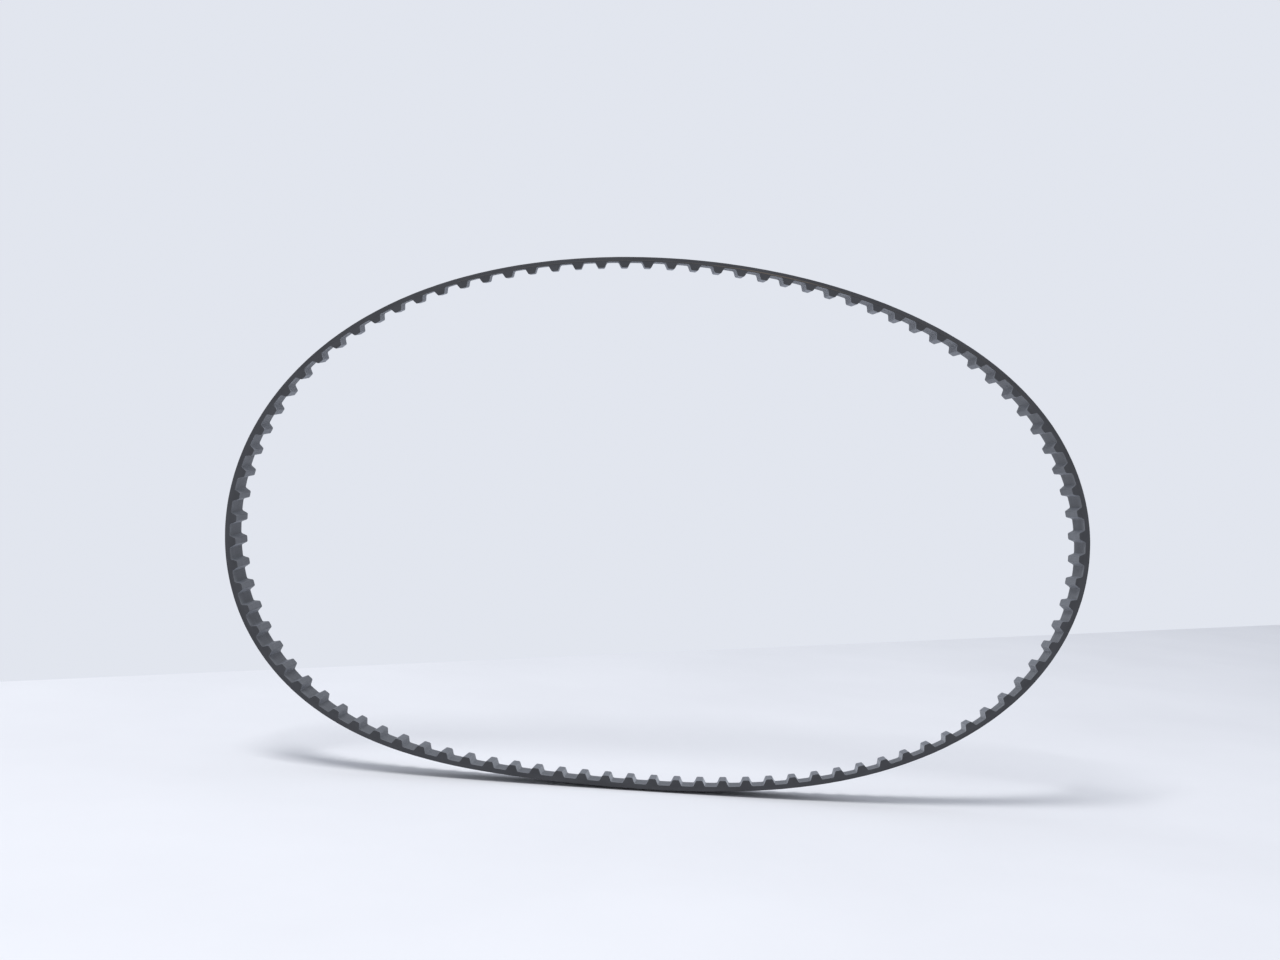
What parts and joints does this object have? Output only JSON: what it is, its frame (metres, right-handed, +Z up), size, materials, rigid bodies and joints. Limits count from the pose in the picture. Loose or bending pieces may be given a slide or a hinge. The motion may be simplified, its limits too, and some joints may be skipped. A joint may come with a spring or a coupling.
{
  "type": "timing belt",
  "caption": "Endless rubber timing belt with trapezoidal teeth on the inside, smooth back and cut sides, standing as a flexible oval loop.",
  "frame": {"origin": "centre of the loop's bounding box, midway between the two cut sides", "axes": "+Z up with the loop standing on its lower run, +X to the right along the loop's long axis, Y across the belt's width, parallel to the pulley shafts; -Y is the cut side seen from the front"},
  "size_m": [0.1864, 0.0064, 0.1146],
  "materials": {
    "body_rubber": "matt moulded and ground neoprene, cut sides slightly rough",
    "facing_fabric": "tight nylon weave with a soft sheen",
    "tension_cord": "twisted glass-fibre cord, tan with dip"
  },
  "bodies": {
    "belt_length_01": {"rubber_body_01": "body_rubber", "tension_cords_01": "tension_cord", "tooth_facing_01": "facing_fabric"},
    "belt_length_02": {"rubber_body_02": "body_rubber", "tension_cords_02": "tension_cord", "tooth_facing_02": "facing_fabric"},
    "belt_length_03": {"rubber_body_03": "body_rubber", "tension_cords_03": "tension_cord", "tooth_facing_03": "facing_fabric"},
    "belt_length_04": {"rubber_body_04": "body_rubber", "tension_cords_04": "tension_cord", "tooth_facing_04": "facing_fabric"},
    "belt_length_05": {"rubber_body_05": "body_rubber", "tension_cords_05": "tension_cord", "tooth_facing_05": "facing_fabric"},
    "belt_length_06": {"rubber_body_06": "body_rubber", "tension_cords_06": "tension_cord", "tooth_facing_06": "facing_fabric"},
    "belt_length_07": {"rubber_body_07": "body_rubber", "tension_cords_07": "tension_cord", "tooth_facing_07": "facing_fabric"},
    "belt_length_08": {"rubber_body_08": "body_rubber", "tension_cords_08": "tension_cord", "tooth_facing_08": "facing_fabric"},
    "belt_length_09": {"rubber_body_09": "body_rubber", "tension_cords_09": "tension_cord", "tooth_facing_09": "facing_fabric"},
    "belt_length_10": {"rubber_body_10": "body_rubber", "tension_cords_10": "tension_cord", "tooth_facing_10": "facing_fabric"},
    "belt_length_11": {"rubber_body_11": "body_rubber", "tension_cords_11": "tension_cord", "tooth_facing_11": "facing_fabric"},
    "belt_length_12": {"rubber_body_12": "body_rubber", "tension_cords_12": "tension_cord", "tooth_facing_12": "facing_fabric"},
    "belt_length_13": {"rubber_body_13": "body_rubber", "tension_cords_13": "tension_cord", "tooth_facing_13": "facing_fabric"},
    "belt_length_14": {"rubber_body_14": "body_rubber", "tension_cords_14": "tension_cord", "tooth_facing_14": "facing_fabric"},
    "belt_length_15": {"rubber_body_15": "body_rubber", "tension_cords_15": "tension_cord", "tooth_facing_15": "facing_fabric"},
    "belt_length_16": {"rubber_body_16": "body_rubber", "tension_cords_16": "tension_cord", "tooth_facing_16": "facing_fabric"},
    "belt_length_17": {"rubber_body_17": "body_rubber", "tension_cords_17": "tension_cord", "tooth_facing_17": "facing_fabric"},
    "belt_length_18": {"rubber_body_18": "body_rubber", "tension_cords_18": "tension_cord", "tooth_facing_18": "facing_fabric"},
    "belt_length_19": {"rubber_body_19": "body_rubber", "tension_cords_19": "tension_cord", "tooth_facing_19": "facing_fabric"}
  },
  "joints": [
    {"name": "bend_01_02", "type": "hinge", "parent": "belt_length_01", "child": "belt_length_02", "pos_m": [0.01482, 0, -0.05615], "axis": [0, -1, 0], "range_deg": [-9.94, 9.94], "stiffness_Nm_per_rad": 0.0053, "springref_deg": 5.27},
    {"name": "bend_02_03", "type": "hinge", "parent": "belt_length_02", "child": "belt_length_03", "pos_m": [0.03996, 0, -0.05276], "axis": [0, -1, 0], "range_deg": [-6.34, 6.34], "stiffness_Nm_per_rad": 0.0053, "springref_deg": 3.36},
    {"name": "bend_03_04", "type": "hinge", "parent": "belt_length_03", "child": "belt_length_04", "pos_m": [0.06371, 0, -0.04395], "axis": [0, -1, 0], "range_deg": [-0.436, 0.436], "stiffness_Nm_per_rad": 0.0053, "springref_deg": 0.23},
    {"name": "bend_04_05", "type": "hinge", "parent": "belt_length_04", "child": "belt_length_05", "pos_m": [0.08307, 0, -0.02779], "axis": [0, -1, 0], "range_deg": [-7.54, 7.54], "stiffness_Nm_per_rad": 0.0053, "springref_deg": -4},
    {"name": "bend_05_06", "type": "hinge", "parent": "belt_length_05", "child": "belt_length_06", "pos_m": [0.09232, 0, -0.00451], "axis": [0, -1, 0], "range_deg": [-13.47, 13.47], "stiffness_Nm_per_rad": 0.0053, "springref_deg": -7.14},
    {"name": "bend_06_07", "type": "hinge", "parent": "belt_length_06", "child": "belt_length_07", "pos_m": [0.08686, 0, 0.01991], "axis": [0, -1, 0], "range_deg": [-13.2, 13.2], "stiffness_Nm_per_rad": 0.0053, "springref_deg": -7},
    {"name": "bend_07_08", "type": "hinge", "parent": "belt_length_07", "child": "belt_length_08", "pos_m": [0.06959, 0, 0.03823], "axis": [0, -1, 0], "range_deg": [-5.47, 5.47], "stiffness_Nm_per_rad": 0.0053, "springref_deg": -2.9},
    {"name": "bend_08_09", "type": "hinge", "parent": "belt_length_08", "child": "belt_length_09", "pos_m": [0.04681, 0, 0.04928], "axis": [0, -1, 0], "range_deg": [-4.96, 4.96], "stiffness_Nm_per_rad": 0.0053, "springref_deg": 2.63},
    {"name": "bend_09_10", "type": "hinge", "parent": "belt_length_09", "child": "belt_length_10", "pos_m": [0.0221, 0, 0.05499], "axis": [0, -1, 0], "range_deg": [-11.93, 11.93], "stiffness_Nm_per_rad": 0.0053, "springref_deg": 6.32},
    {"name": "bend_19_01", "type": "hinge", "parent": "belt_length_01", "child": "belt_length_19", "pos_m": [-0.01057, 0, -0.05636], "axis": [0, 1, 0], "range_deg": [-11.68, 11.68], "stiffness_Nm_per_rad": 0.0053, "springref_deg": 6.19},
    {"name": "bend_18_19", "type": "hinge", "parent": "belt_length_19", "child": "belt_length_18", "pos_m": [-0.03591, 0, -0.05467], "axis": [0, 1, 0], "range_deg": [-9.08, 9.08], "stiffness_Nm_per_rad": 0.0053, "springref_deg": 4.81},
    {"name": "bend_17_18", "type": "hinge", "parent": "belt_length_18", "child": "belt_length_17", "pos_m": [-0.0606, 0, -0.049], "axis": [0, 1, 0], "range_deg": [-1.53, 1.53], "stiffness_Nm_per_rad": 0.0053, "springref_deg": 0.81},
    {"name": "bend_16_17", "type": "hinge", "parent": "belt_length_17", "child": "belt_length_16", "pos_m": [-0.08145, 0, -0.03492], "axis": [0, 1, 0], "range_deg": [-8.55, 8.55], "stiffness_Nm_per_rad": 0.0053, "springref_deg": -4.53},
    {"name": "bend_15_16", "type": "hinge", "parent": "belt_length_16", "child": "belt_length_15", "pos_m": [-0.09201, 0, -0.01221], "axis": [0, 1, 0], "range_deg": [-14.4, 14.4], "stiffness_Nm_per_rad": 0.0053, "springref_deg": -7.63},
    {"name": "bend_14_15", "type": "hinge", "parent": "belt_length_15", "child": "belt_length_14", "pos_m": [-0.08871, 0, 0.01267], "axis": [0, 1, 0], "range_deg": [-11.89, 11.89], "stiffness_Nm_per_rad": 0.0053, "springref_deg": -6.3},
    {"name": "bend_13_14", "type": "hinge", "parent": "belt_length_14", "child": "belt_length_13", "pos_m": [-0.07408, 0, 0.03318], "axis": [0, 1, 0], "range_deg": [-4.73, 4.73], "stiffness_Nm_per_rad": 0.0053, "springref_deg": -2.51},
    {"name": "bend_12_13", "type": "hinge", "parent": "belt_length_13", "child": "belt_length_12", "pos_m": [-0.05276, 0, 0.04677], "axis": [0, 1, 0], "range_deg": [-2.45, 2.45], "stiffness_Nm_per_rad": 0.0053, "springref_deg": 1.3},
    {"name": "bend_11_12", "type": "hinge", "parent": "belt_length_12", "child": "belt_length_11", "pos_m": [-0.02847, 0, 0.05403], "axis": [0, 1, 0], "range_deg": [-8.46, 8.46], "stiffness_Nm_per_rad": 0.0053, "springref_deg": 4.48}
  ],
  "couplings": [
    {"joint": "bend_01_02", "follows": "bend_15_16", "ratio": -0.68997},
    {"joint": "bend_02_03", "follows": "bend_15_16", "ratio": -0.44026},
    {"joint": "bend_03_04", "follows": "bend_15_16", "ratio": -0.030193},
    {"joint": "bend_04_05", "follows": "bend_15_16", "ratio": 0.52383},
    {"joint": "bend_05_06", "follows": "bend_15_16", "ratio": 0.93539},
    {"joint": "bend_06_07", "follows": "bend_15_16", "ratio": 0.91685},
    {"joint": "bend_07_08", "follows": "bend_15_16", "ratio": 0.37992},
    {"joint": "bend_08_09", "follows": "bend_15_16", "ratio": -0.34443},
    {"joint": "bend_09_10", "follows": "bend_15_16", "ratio": -0.82805},
    {"joint": "bend_19_01", "follows": "bend_15_16", "ratio": -0.81121},
    {"joint": "bend_18_19", "follows": "bend_15_16", "ratio": -0.63048},
    {"joint": "bend_17_18", "follows": "bend_15_16", "ratio": -0.10621},
    {"joint": "bend_16_17", "follows": "bend_15_16", "ratio": 0.59386},
    {"joint": "bend_14_15", "follows": "bend_15_16", "ratio": 0.82532},
    {"joint": "bend_13_14", "follows": "bend_15_16", "ratio": 0.32836},
    {"joint": "bend_12_13", "follows": "bend_15_16", "ratio": -0.1701},
    {"joint": "bend_11_12", "follows": "bend_15_16", "ratio": -0.58756}
  ]
}
